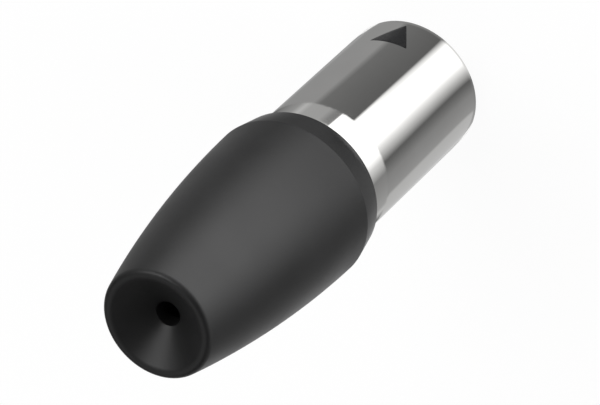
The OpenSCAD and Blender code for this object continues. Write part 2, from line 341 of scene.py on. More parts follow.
def rounded_loop(corners: np.ndarray, radii: np.ndarray, steps: int = 6) -> np.ndarray:
    """Rounds every corner of a closed outline with an arc.

    The arc at a corner p between unit directions a and b (to its neighbours) has its centre at
    p + (a + b) / |a + b| * r / sin(h), with h half the angle between a and b, and it meets the
    edges r / tan(h) from p. Points on it divide the turn between the two meeting points evenly.

    Args:
        corners: (K, 2) radius and height of each corner, in order.
        radii: (K,) wished radius of each corner. Two that lack room on their edge shrink alike.
        steps: points on each arc.

    Returns:
        (K * steps, 2) radius and height of the rounded outline.
    """
    before = np.roll(corners, 1, axis=0) - corners
    after = np.roll(corners, -1, axis=0) - corners
    len_a = np.linalg.norm(before, axis=1)
    len_b = np.linalg.norm(after, axis=1)
    a = before / len_a[:, None]
    b = after / len_b[:, None]
    half = np.arccos(np.clip((a * b).sum(1), -0.999999, 0.999999)) / 2
    wished = radii / np.tan(half)
    share = np.minimum(1.0, 0.96 * len_b / np.maximum(wished + np.roll(wished, -1), 1e-9))
    reach = wished * np.minimum(share, np.roll(share, 1))
    r = reach * np.tan(half)
    middle = (a + b) / np.linalg.norm(a + b, axis=1)[:, None]
    centre = corners + middle * (r / np.sin(half))[:, None]
    start = corners + a * reach[:, None] - centre
    end = corners + b * reach[:, None] - centre
    turn = pi - 2 * half
    t = np.linspace(0.0, 1.0, steps)[None, :]
    w = np.sin(turn)[:, None]
    arc = (start[:, None, :] * (np.sin((1 - t) * turn[:, None]) / w)[..., None]
           + end[:, None, :] * (np.sin(t * turn[:, None]) / w)[..., None])
    return (centre[:, None, :] + arc).reshape(-1, 2)


def rounded_chain(corners: list, radii_mm: list, steps: int = 8) -> np.ndarray:
    """Rounds the corners of an open outline, whose first and last corners are only directions.

    Args:
        corners: radius and height of each corner, in order.
        radii_mm: wished radius of each corner between the first and the last, in millimetres.
        steps: points on each arc.

    Returns:
        (M, 2) radius and height, without the first and the last corner.
    """
    radii = np.array([0.0, *radii_mm, 0.0]) * MM
    return rounded_loop(np.array(corners), radii, steps)[steps:-steps]


def insert_rows(outline: np.ndarray, low: float, high: float, count: int, radius: float) -> np.ndarray:
    """Adds evenly spaced rows to the long straight edge of an outline that spans low to high.

    Args:
        outline: (M, 2) closed outline.
        low: lowest height of the new rows.
        high: highest height of the new rows.
        count: how many rows.
        radius: radius of the edge, which picks it among edges at the same height.

    Returns:
        The outline with its new rows.
    """
    nxt = np.roll(outline, -1, axis=0)
    spans = np.abs(nxt[:, 1] - outline[:, 1])
    near = (np.abs(outline[:, 0] - radius) < 0.05 * MM) & (np.abs(nxt[:, 0] - radius) < 0.05 * MM)
    inside = (np.minimum(outline[:, 1], nxt[:, 1]) <= low) & (np.maximum(outline[:, 1], nxt[:, 1]) >= high)
    k = int(np.argmax(np.where(near & inside, spans, -1.0)))
    z = np.linspace(low, high, count)
    if nxt[k, 1] < outline[k, 1]:
        z = z[::-1]
    new = np.column_stack([np.full(count, radius), z])
    return np.vstack([outline[:k + 1], new, outline[k + 1:]])


def grid_object(name: str, x: np.ndarray, y: np.ndarray, z: np.ndarray, close_rows: bool,
                close_columns: bool = True, sharp: float = 32.0, merge: bool = True) -> bpy.types.Object:
    """Makes a mesh of quads from coordinate grids.

    Corner (i, j) is joined to (i + 1, j), (i + 1, j + 1) and (i, j + 1), with indices wrapped
    where the grid is closed. The faces are turned outwards by the sign of the volume that they
    enclose, a sixth of the sum of each triangle's corner determinant.

    Args:
        name: the object's name.
        x: (M, N) coordinates.
        y: (M, N) coordinates.
        z: (M, N) coordinates.
        close_rows: joins the last row to the first.
        close_columns: joins the last column to the first.
        sharp: the angle in degrees past which an edge is shaded sharp.
        merge: joins points that lie on each other, as at a pole.

    Returns:
        The object, at the origin.
    """
    m, n = x.shape
    points = np.column_stack([x.ravel(), y.ravel(), z.ravel()])
    index = np.arange(m * n).reshape(m, n)
    rows = index if close_rows else index[:-1]
    down = np.roll(index, -1, axis=0) if close_rows else index[1:]
    if not close_columns:
        rows, down = rows[:, :-1], down[:, :-1]
    step = (lambda g: np.roll(g, -1, axis=1)) if close_columns else None
    right = step(rows) if step else (index if close_rows else index[:-1])[:, 1:]
    corner = step(down) if step else (np.roll(index, -1, axis=0) if close_rows else index[1:])[:, 1:]
    quads = np.stack([rows, right, corner, down], axis=-1).reshape(-1, 4)
    p = points[quads]
    volume = (np.cross(p[:, 0], p[:, 1]) * p[:, 2]).sum() + (np.cross(p[:, 0], p[:, 2]) * p[:, 3]).sum()
    if volume < 0:
        quads = quads[:, ::-1]
    mesh = bpy.data.meshes.new(name)
    mesh.from_pydata(points.tolist(), [], quads.tolist())
    if merge:
        bm = bmesh.new()
        bm.from_mesh(mesh)
        bmesh.ops.remove_doubles(bm, verts=bm.verts, dist=1e-8)
        bmesh.ops.dissolve_degenerate(bm, edges=bm.edges, dist=1e-9)
        bm.to_mesh(mesh)
        bm.free()
    mesh.shade_smooth()
    mesh.set_sharp_from_angle(angle=radians(sharp))
    obj = bpy.data.objects.new(name, mesh)
    bpy.context.scene.collection.objects.link(obj)
    return obj


def turned(name: str, outline: np.ndarray, columns: np.ndarray, centre: tuple = (0.0, 0.0),
           close_rows: bool = True, sharp: float = 32.0) -> bpy.types.Object:
    """Turns an outline round an axis parallel to Z: x = r cos(a), y = r sin(a), z = height.

    Args:
        name: the object's name.
        outline: (M, 2) radius and height.
        columns: (N,) angles in radians.
        centre: the axis's place in x and y.
        close_rows: the outline is closed.
        sharp: the angle in degrees past which an edge is shaded sharp.

    Returns:
        The object.
    """
    r, h = outline[:, :1], outline[:, 1:]
    x = centre[0] + r * np.cos(columns)[None, :]
    y = centre[1] + r * np.sin(columns)[None, :]
    return grid_object(name, x, y, np.broadcast_to(h, x.shape), close_rows, sharp=sharp)


def dress(obj: bpy.types.Object, finish: object, body: Body, *nodes: str) -> bpy.types.Object:
    """Gives a new piece its finish, its body and the nodes that it stands for.

    Args:
        obj: the piece.
        finish: a finish with a slot and a material method.
        body: the body that it rides on.
        nodes: the frame's nodes that it replaces.

    Returns:
        The piece.
    """
    obj.data.materials.clear()
    obj.data.materials.append(material_of(finish))
    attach(obj, body.value)
    if nodes:
        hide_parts(*nodes)
    LOG.info("%s: %d faces on %s", obj.name, len(obj.data.polygons), body.value)
    return obj


def dress_node(node: str, finish: object) -> None:
    """Gives a node of the frame, whose shape is kept, its finish.

    Args:
        node: the node's name.
        finish: a finish with a material method.
    """
    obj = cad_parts[node]
    obj.data.materials.clear()
    obj.data.materials.append(material_of(finish))
    LOG.info("%s: kept from the frame", node)


MADE: dict[str, bpy.types.Material] = {}


def material_of(finish: object) -> bpy.types.Material:
    """Makes a finish's material once and hands it out after that.

    Args:
        finish: a finish with a name and a material method.

    Returns:
        The material.
    """
    if finish.name not in MADE:
        MADE[finish.name] = finish.material()
    return MADE[finish.name]


# The thread that the shell and the nut share


@dataclass(frozen=True)
class Thread:
    """A right-hand screw ridge. Its place along the pitch is t = z / pitch - angle / 2 pi."""

    pitch: float = 1.5 * MM
    height: float = 0.55 * MM
    base_share: float = 0.50
    crest_share: float = 0.13
    fade: float = 0.7 * MM

    def ridge(self, z: np.ndarray, angle: np.ndarray, low: float, high: float, shift: float) -> np.ndarray:
        """Height of the ridge over its root.

        The ridge is a trapezium of t with sloping flanks, whose middle lies at t = shift, and it
        fades in and out over one fade length by the smooth step 3 s^2 - 2 s^3.

        Args:
            z: heights.
            angle: angles round the axis.
            low: where the thread starts.
            high: where the thread ends.
            shift: the ridge's middle, as a share of the pitch.

        Returns:
            The ridge's height at each point.
        """
        t = np.abs((z / self.pitch - angle / (2 * pi) - shift + 0.5) % 1.0 - 0.5)
        flank = (self.base_share - self.crest_share) / 2
        shape = np.clip((self.base_share / 2 - t) / flank, 0.0, 1.0)
        s = np.clip(np.minimum(z - low, high - z) / self.fade, 0.0, 1.0)
        return self.height * shape * (3 * s ** 2 - 2 * s ** 3)


THREAD = Thread()


def slab(x: np.ndarray, y: np.ndarray, angle: np.ndarray, rows: np.ndarray, side: Side, half_width: float,
         foot: float, floor: float) -> tuple[np.ndarray, np.ndarray]:
    """Cuts or raises a flat-bottomed slab in some rows of a turned wall.

    Columns whose angle from the slab's middle is under asin(half_width / foot) lie on its floor,
    at radial distance floor and at a width in proportion to their angle.

    Args:
        x: (M, N) coordinates of the wall.
        y: (M, N) coordinates of the wall.
        angle: (N,) angles of the columns.
        rows: (M,) which rows the slab spans.
        side: the slab's middle.
        half_width: half its width.
        foot: radius of the wall where the slab's sides meet it.
        floor: distance of its floor from the axis.

    Returns:
        The changed x and y.
    """
    off = (angle - side.value + pi) % (2 * pi) - pi
    edge = asin(half_width / foot)
    inner = edge - 0.004
    across = half_width * np.clip(off / inner, -1.0, 1.0)
    on = (np.abs(off) <= inner + 1e-6)[None, :] & rows[:, None]
    c, s = cos(side.value), sin(side.value)
    return (np.where(on, floor * c - across * s, x), np.where(on, floor * s + across * c, y))


def slab_columns(side: Side, half_width: float, foot: float) -> list[float]:
    """Angles of the columns that a slab needs at its two sides.

    Args:
        side: the slab's middle.
        half_width: half its width.
        foot: radius of the wall where its sides meet it.

    Returns:
        Four angles.
    """
    edge = asin(half_width / foot)
    return [side.value + k * e for k in (-1, 1) for e in (edge, edge - 0.004)]


# Sub-assemblies


@dataclass
class Shell:
    """The nickel-plated shell: socket with key and latch recess, land, seal groove, thread, keyways."""

    columns: int = 288
    socket_wall: float = 1.45 * MM
    socket_depth: float = 15.0 * MM
    web_t: float = 1.5 * MM
    web_bore: float = 6.0 * MM
    tail_bore: float = 7.0 * MM
    tail_len: float = 10.0 * MM
    shoulder: float = 0.65 * MM
    thread_depth: float = 0.6 * MM
    pilot_len: float = 4.0 * MM
    band_len: float = 5.0 * MM
    band_drop: float = 0.1 * MM
    seal_at: float = 1.3 * MM
    seal_w: float = 1.2 * MM
    seal_depth: float = 0.75 * MM
    rim_round: float = 0.3 * MM
    lead_in: float = 0.4 * MM
    tail_chamfer: float = 0.4 * MM
    edge: float = 0.06 * MM
    latch: tuple[float, float] = (3.0 * MM, 6.5 * MM)
    latch_half: float = 3.0 * MM
    latch_depth: float = 0.75 * MM
    key_z: float = 8.0 * MM
    key_half: float = 1.2 * MM
    key_h: float = 0.8 * MM
    keyway_half: float = 1.2 * MM
    keyway_depth: float = 0.55 * MM
    r: float = field(init=False)
    tail_end: float = field(init=False)

    def __post_init__(self) -> None:
        """Takes the shell's radius and length from the frame."""
        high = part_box("shell")[1]
        self.r = high.x
        self.tail_end = high.z

    @property
    def shoulder_z(self) -> float:
        """Height of the shoulder under the boot."""
        return self.tail_end - self.tail_len

    @property
    def socket_r(self) -> float:
        """Radius of the socket."""
        return self.r - self.socket_wall

    @property
    def thread_root(self) -> float:
        """Radius of the tail between the thread's ridges."""
        return self.r - self.shoulder - self.thread_depth

    def outline(self) -> np.ndarray:
        """Outline of the shell's wall, with broken edges and the rows that its features need.

        Returns:
            (M, 2) radius and height, closed.
        """
        r, e = self.r, self.edge
        band = self.shoulder_z - self.band_len
        land = r - self.shoulder
        seal = self.shoulder_z + self.seal_at
        pilot = self.shoulder_z + self.pilot_len
        web = self.socket_depth + self.web_t
        corners = [
            (r, 0.0, self.rim_round), (r, band, 0.03 * MM),
            (r - self.band_drop, self.shoulder_z, e), (land, self.shoulder_z, e),
            (land, seal, e), (land - self.seal_depth, seal, e),
            (land - self.seal_depth, seal + self.seal_w, e), (land, seal + self.seal_w, e),
            (land, pilot, 0.1 * MM), (self.thread_root, pilot, e),
            (self.thread_root, self.tail_end - self.tail_chamfer, e),
            (self.thread_root - self.tail_chamfer, self.tail_end, e), (self.tail_bore, self.tail_end, 0.15 * MM),
            (self.tail_bore, web, e), (self.web_bore, web, e), (self.web_bore, self.socket_depth, 0.1 * MM),
            (self.socket_r, self.socket_depth, e), (self.socket_r, self.lead_in, e),
            (self.socket_r + self.lead_in, 0.0, e),
        ]
        table = np.array(corners)
        line = rounded_loop(table[:, :2], table[:, 2])
        line = insert_rows(line, pilot + 0.2 * MM, self.tail_end - self.tail_chamfer - 0.15 * MM, 96,
                           self.thread_root)
        step = 0.002 * MM
        levels = [z for edge in (*self.latch, self.key_z) for z in (edge - step, edge + step)]
        for z in levels + [self.socket_depth - 0.2 * MM]:
            line = insert_rows(line, z, z, 1, self.socket_r)
        return line

    def build(self) -> None:
        """Turns the outline, adds thread, key, recess and keyways, and marks the arrow."""
        line = self.outline()
        angles = list(np.linspace(0.0, 2 * pi, self.columns, endpoint=False))
        angles += slab_columns(Side.KEY, self.key_half, self.socket_r)
        angles += slab_columns(Side.KEY, self.latch_half, self.socket_r)
        for side in (Side.KEYWAY_RIGHT, Side.KEYWAY_LEFT):
            angles += slab_columns(side, self.keyway_half, self.tail_bore)
        a = np.unique(np.round(np.array(angles) % (2 * pi), 6))
        r = np.broadcast_to(line[:, :1], (len(line), len(a)))
        z = np.broadcast_to(line[:, 1:], r.shape)
        low = self.shoulder_z + self.pilot_len + 0.2 * MM
        high = self.tail_end - self.tail_chamfer
        on_thread = np.abs(line[:, 0] - self.thread_root) < 0.01 * MM
        ridge = THREAD.ridge(z, a[None, :], low, high, 0.5)
        r = r + np.where(on_thread[:, None], ridge, 0.0)
        x, y = r * np.cos(a), r * np.sin(a)
        on_socket = np.abs(line[:, 0] - self.socket_r) < 0.005 * MM
        h = line[:, 1]
        latch_rows = on_socket & (h > self.latch[0]) & (h < self.latch[1])
        x, y = slab(x, y, a, latch_rows, Side.KEY, self.latch_half, self.socket_r, self.socket_r + self.latch_depth)
        key_rows = on_socket & (h > self.key_z)
        x, y = slab(x, y, a, key_rows, Side.KEY, self.key_half, self.socket_r, self.socket_r - self.key_h)
        web = self.socket_depth + self.web_t
        bore_rows = (np.abs(line[:, 0] - self.tail_bore) < 0.2 * MM) & (h > web - 0.01 * MM)
        for side in (Side.KEYWAY_RIGHT, Side.KEYWAY_LEFT):
            x, y = slab(x, y, a, bore_rows, side, self.keyway_half, self.tail_bore,
                        self.tail_bore + self.keyway_depth)
        obj = grid_object("shell_body", x, y, z, True)
        dress(obj, NICKEL, Body.SHELL, "shell")
        self.arrow()

    def arrow(self) -> None:
        """A dark arrow head on the key side that points to the front.

        The patch is a triangle with rounded corners, wrapped on the shell: a point at height v and
        width u lies at angle 90 degrees + u / r, a hair outside the metal, and its rim bends down
        to the metal.
        """
        width, base, tip = 5.4 * MM, 6.2 * MM, 1.1 * MM
        corners = np.array([[0.0, tip], [width / 2, base], [-width / 2, base]])
        ring = rounded_loop(corners, np.full(3, 0.12 * MM), 8)
        middle = corners.mean(axis=0)
        shares = np.array([1.0, 0.985, 0.8, 0.6, 0.4, 0.2, 0.02])
        lift = np.array([-0.004, 0.010, 0.012, 0.012, 0.012, 0.012, 0.012]) * MM
        flat = middle + shares[:, None, None] * (ring[None, :, :] - middle)
        dense = self.fill_ring(flat)
        a = pi / 2 + dense[..., 0] / self.r
        rr = self.r + lift[:, None]
        obj = grid_object("arrow_mark", rr * np.cos(a), rr * np.sin(a), dense[..., 1], False)
        self.cap(obj)
        dress(obj, INK, Body.SHELL)

    @staticmethod
    def fill_ring(flat: np.ndarray) -> np.ndarray:
        """Adds points along each ring, 8 to an edge, by linear steps between its neighbours.

        Args:
            flat: (rings, points, 2) rings.

        Returns:
            (rings, 8 * points, 2) rings.
        """
        nxt = np.roll(flat, -1, axis=1)
        t = np.linspace(0.0, 1.0, 8, endpoint=False)
        steps = flat[:, :, None, :] + (nxt - flat)[:, :, None, :] * t[None, None, :, None]
        return steps.reshape(flat.shape[0], -1, 2)

    @staticmethod
    def cap(obj: bpy.types.Object) -> None:
        """Fills the patch's small middle hole and turns its faces outwards.

        Args:
            obj: the patch.
        """
        bm = bmesh.new()
        bm.from_mesh(obj.data)
        rim = [e for e in bm.edges if e.is_boundary]
        bmesh.ops.holes_fill(bm, edges=rim, sides=0)
        bmesh.ops.recalc_face_normals(bm, faces=bm.faces)
        bm.to_mesh(obj.data)
        bm.free()


@dataclass
class Contact:
    """One turned contact with rounded tip, shank, collar and open solder cup."""

    node: str
    columns: int = 96
    pin_r: float = 1.18 * MM
    shank_r: float = 1.4 * MM
    collar_r: float = 1.6 * MM
    collar: tuple[float, float] = (19.75 * MM, 21.75 * MM)
    cup_r: float = 1.35 * MM
    bore_r: float = 0.95 * MM
    cup_z: float = 25.0 * MM
    bore_z: float = 27.0 * MM
    face_z: float = 15.0 * MM
    cut_share: float = 0.45
    edge: float = 0.05 * MM

    def build(self) -> None:
        """Turns the contact about its own axis and cuts the outer half of its cup's end away."""
        low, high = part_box(self.node)
        centre = ((low.x + high.x) / 2, (low.y + high.y) / 2)
        tip, end = low.z, high.z
        arc = np.linspace(-pi / 2, 0.0, 14)
        nose = np.column_stack([self.pin_r * np.cos(arc), tip + self.pin_r + self.pin_r * np.sin(arc)])
        nose[0, 0] = 0.0
        corners = np.array([
            (self.pin_r, self.face_z), (self.shank_r, self.face_z), (self.shank_r, self.collar[0]),
            (self.collar_r, self.collar[0]), (self.collar_r, self.collar[1]), (self.shank_r, self.collar[1]),
            (self.shank_r, self.cup_z), (self.cup_r, self.cup_z), (self.cup_r, end), (self.bore_r, end),
            (self.bore_r, self.bore_z), (0.0, self.bore_z),
        ])
        walls = rounded_loop(corners, np.full(len(corners), self.edge), 4)[:-4]
        line = np.vstack([nose, walls, [[0.0, self.bore_z]]])
        out = atan2(centre[1], centre[0])
        a = np.linspace(0.0, 2 * pi, self.columns, endpoint=False) + out + pi / self.columns
        x = centre[0] + line[:, :1] * np.cos(a)
        y = centre[1] + line[:, :1] * np.sin(a)
        # Past the cut, the outer half's rows come down to the cut's level
        cut = end - self.cut_share * (end - self.cup_z)
        outer = np.cos(a - out) > 0
        h = np.broadcast_to(line[:, 1:], x.shape)
        z = np.where(outer[None, :] & (h > cut), cut, h)
        obj = grid_object(self.node + "_turned", x, y, z, False)
        dress(obj, GOLD, Body.SHELL, self.node)


@dataclass
class Insert:
    """The black contact carrier, its raised numerals and the ground strip."""

    face_z: float = 15.0 * MM
    numeral_size: float = 1.9 * MM
    numeral_rise: float = 0.12 * MM
    numeral_gap: float = 2.35 * MM

    def build(self) -> None:
        """Dresses the carrier and the strip, and raises a numeral beside each contact."""
        dress_node("insert", CARRIER)
        dress_node("ground_contact", BRONZE)
        for number, node in enumerate(("pin_1", "pin_2", "pin_3"), start=1):
            low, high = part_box(node)
            self.numeral(number, Vector(((low.x + high.x) / 2, (low.y + high.y) / 2)))

    def numeral(self, number: int, pin: Vector) -> None:
        """Raises a plain numeral between a contact and the middle, to be read from the front.

        Args:
            number: the contact's number.
            pin: the contact's place in x and y.
        """
        curve = bpy.data.curves.new(f"numeral_{number}", "FONT")
        curve.body = str(number)
        curve.size = self.numeral_size
        curve.align_x = "CENTER"
        curve.align_y = "CENTER"
        curve.extrude = self.numeral_rise / 2
        curve.bevel_depth = 0.02 * MM
        raised = bpy.data.objects.new("numeral_curve", curve)
        bpy.context.scene.collection.objects.link(raised)
        bpy.context.view_layer.update()
        mesh = bpy.data.meshes.new_from_object(raised.evaluated_get(bpy.context.evaluated_depsgraph_get()))
        bpy.data.objects.remove(raised)
        place = pin * (1 - self.numeral_gap / pin.length)
        # Turned half round the Y axis, so that it faces the front
        mesh.transform(Matrix.Translation((place.x, place.y, self.face_z - 0.4 * self.numeral_rise))
                       @ Matrix.Rotation(pi, 4, "Y"))
        obj = bpy.data.objects.new(f"numeral_{number}", mesh)
        bpy.context.scene.collection.objects.link(obj)
        dress(obj, CARRIER, Body.SHELL)


@dataclass
class Seals:
    """The rubber rings: face gasket, shell ring and cable gland."""

    columns: int = 160

    def ring(self, node: str, inner: float, rounding: float, body: Body) -> None:
        """A ring of rounded rectangular section in the box of its node.

        Args:
            node: the node that it replaces.
            inner: its inner radius.
            rounding: radius of the section's corners.
            body: the body that it rides on.
        """
        low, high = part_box(node)
        corners = np.array([(inner, low.z), (high.x, low.z), (high.x, high.z), (inner, high.z)])
        line = rounded_loop(corners, np.full(4, rounding), 8)
        a = np.linspace(0.0, 2 * pi, self.columns, endpoint=False)
        dress(turned(node + "_ring", line, a), SEAL, body, node)

    def gland(self, bore: float, rib: float, ribs: int) -> None:
        """The sleeve in the chuck, whose bore is waved by its sealing ribs.

        The bore's radius is bore + rib / 2 - rib / 2 * cos(2 pi ribs h), with h from 0 to 1 along it.

        Args:
            bore: radius of the bore at its ribs.
            rib: height of the ribs.
            ribs: how many.
        """
        low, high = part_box("gland_seal")
        h = np.linspace(1.0, 0.0, 80)
        inside = np.column_stack([bore + rib / 2 - rib / 2 * np.cos(2 * pi * ribs * h), low.z + h * (high.z - low.z)])
        outside = np.array([(high.x, low.z), (high.x, high.z - rib), (high.x - rib, high.z)])
        a = np.linspace(0.0, 2 * pi, self.columns, endpoint=False)
        dress(turned("gland_sleeve", np.vstack([outside, inside]), a), SEAL, Body.CLAMP, "gland_seal")

    def build(self) -> None:
        """Builds the three seals."""
        self.ring("face_gasket", 6.1 * MM, 0.2 * MM, Body.SHELL)
        self.ring("shell_o_ring", 8.1 * MM, 0.35 * MM, Body.SHELL)
        self.gland(1.53 * MM, 0.25 * MM, 4)


@dataclass
class Boot:
    """The screw-on boot: hard nut with its thread and soft cover with funnel."""

    columns: int = 320
    boot_len: float = 36.45 * MM
    bevel_len: float = 4.0 * MM
    bevel_h: float = 0.75 * MM
    side_r: float = 160.0 * MM
    side_lead: float = 3.1 * MM
    rear_round: float = 0.75 * MM
    lip_w: float = 1.05 * MM
    lip_round: float = 1.2 * MM
    funnel_depth: float = 2.95 * MM
    entry_r: float = 1.65 * MM
    entry_len: float = 2.0 * MM
    cover_wall: float = 1.3 * MM
    seal_t: float = 0.5 * MM
    land_r: float = 8.9 * MM
    nut_thread_r: float = 8.95 * MM
    pilot_z: float = 33.2 * MM
    thread_z: float = 39.3 * MM
    seat_z: float = 40.95 * MM
    cone_z: float = 53.1 * MM
    recess_r: float = 7.775 * MM
    cone_front_r: float = 6.77 * MM
    cone_rear_r: float = 5.07 * MM
    nut_neck: float = 8.37 * MM
    neck_len: float = 1.6 * MM
    nut_tail: float = 6.67 * MM
    mouth_r: float = 4.52 * MM
    anchors: int = 3
    anchor_from: float = 2.0 * MM
    anchor_w: float = 1.0 * MM
    anchor_depth: float = 0.4 * MM
    edge: float = 0.08 * MM
    front: float = field(init=False)
    rear: float = field(init=False)
    r: float = field(init=False)
    nut_front: float = field(init=False)
    nut_rear: float = field(init=False)

    def __post_init__(self) -> None:
        """Takes the boot's reach and radius from the frame."""
        low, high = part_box("boot_cover")
        self.front, self.rear, self.r = low.z, high.z, min(high.x, high.y)
        low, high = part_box("boot_nut")
        self.nut_front, self.nut_rear = low.z, high.z

    def side(self, z: np.ndarray) -> np.ndarray:
        """Radius of the long side, part of a large circle that is widest in front of the bevel's edge.

        Args:
            z: heights.

        Returns:
            The radius at each height: c + sqrt(R^2 - (z - z0)^2).
        """
        centre_z = self.front + self.bevel_len - self.side_lead
        centre_r = self.r - np.sqrt(self.side_r ** 2 - self.side_lead ** 2)
        return centre_r + np.sqrt(self.side_r ** 2 - (z - centre_z) ** 2)

    def nut_outline(self) -> np.ndarray:
        """Corners of the nut's outside from its front to its rear, shared by nut and cover.

        Returns:
            (K, 2) radius and height.
        """
        r = self.r - self.cover_wall
        deep = r - self.anchor_depth
        start = self.nut_front + self.anchor_from
        first = start + (self.thread_z - start) / self.anchors * np.arange(self.anchors)
        last = first + self.anchor_w
        rings = [[(r, a), (deep, a), (deep, b), (r, b)] for a, b in zip(first, last)]
        return np.array([(r, self.nut_front), *sum(rings, []), (r, self.seat_z),
                         (self.nut_neck, self.seat_z + self.neck_len), (self.nut_tail, self.nut_rear)])

    def cover(self) -> None:
        """The soft sleeve: bevel, arc, rounded lip, funnel and hole, closed over the nut inside."""
        edge_z = self.front + self.bevel_len
        z = np.linspace(edge_z, self.rear - 1.5 * self.rear_round, 120)
        arc = np.column_stack([self.side(z), z])
        end_r = float(self.side(np.array([self.rear]))[0])
        bore = self.nut_thread_r
        hole_z = self.rear - self.funnel_depth
        bevel = rounded_chain([
            (bore, self.nut_front), (bore, self.front), (self.r - self.bevel_h, self.front),
            (self.r, edge_z), arc[3]], [0.1, 0.2, 0.12])
        rear = rounded_chain([
            arc[-1], (end_r, self.rear), (end_r - self.lip_w, self.rear), (self.entry_r, hole_z),
            (self.entry_r, hole_z - self.entry_len), (self.mouth_r, self.nut_rear),
            (self.nut_tail, self.nut_rear)],
            [self.rear_round / MM, self.lip_round / MM, 0.12, 0.1, 0.1], 12)
        line = np.vstack([bevel, arc[1:], rear, self.nut_outline()[::-1], [(bore, self.nut_front)]])
        a = np.linspace(0.0, 2 * pi, self.columns, endpoint=False)
        dress(turned("boot_sleeve", line, a), COVER, Body.BOOT, "boot_cover")

    def nut(self) -> None:
        """The hard bush, with the shared thread's ridge inside."""
        inside = np.array([
            (self.mouth_r, self.nut_rear), (self.mouth_r, self.cone_z), (self.cone_rear_r, self.cone_z),
            (self.cone_front_r, self.seat_z), (self.recess_r, self.seat_z), (self.recess_r, self.thread_z),
            (self.nut_thread_r, self.thread_z), (self.nut_thread_r, self.pilot_z),
            (self.land_r, self.pilot_z), (self.land_r, self.nut_front)])
        corners = np.vstack([self.nut_outline(), inside])
        line = rounded_loop(corners, np.full(len(corners), self.edge), 3)
        low, high = self.pilot_z + 0.2 * MM, self.thread_z - 0.2 * MM
        line = insert_rows(line, low, high, 110, self.nut_thread_r)
        a = np.linspace(0.0, 2 * pi, 240, endpoint=False)
        on = (np.abs(line[:, 0] - self.nut_thread_r) < 0.01 * MM)[:, None]
        z = np.broadcast_to(line[:, 1:], (len(line), len(a)))
        r = line[:, :1] - np.where(on, THREAD.ridge(z, a[None, :], low, self.thread_z, 0.0), 0.0)
        obj = grid_object("nut_bush", r * np.cos(a), r * np.sin(a), z, True)
        dress(obj, BUSH, Body.BOOT, "boot_nut")

    def build(self) -> None:
        """Builds the cover and the nut."""
        self.cover()
        self.nut()


@dataclass(frozen=True)
class Card:
    """A glowing card of the mat that paints reflections, from one angle off the camera's side
    to another, in degrees.

    Its brightness runs evenly from first to last, and evenly on to the next card's first.
    """

    start: float
    end: float
    first: float
    last: float


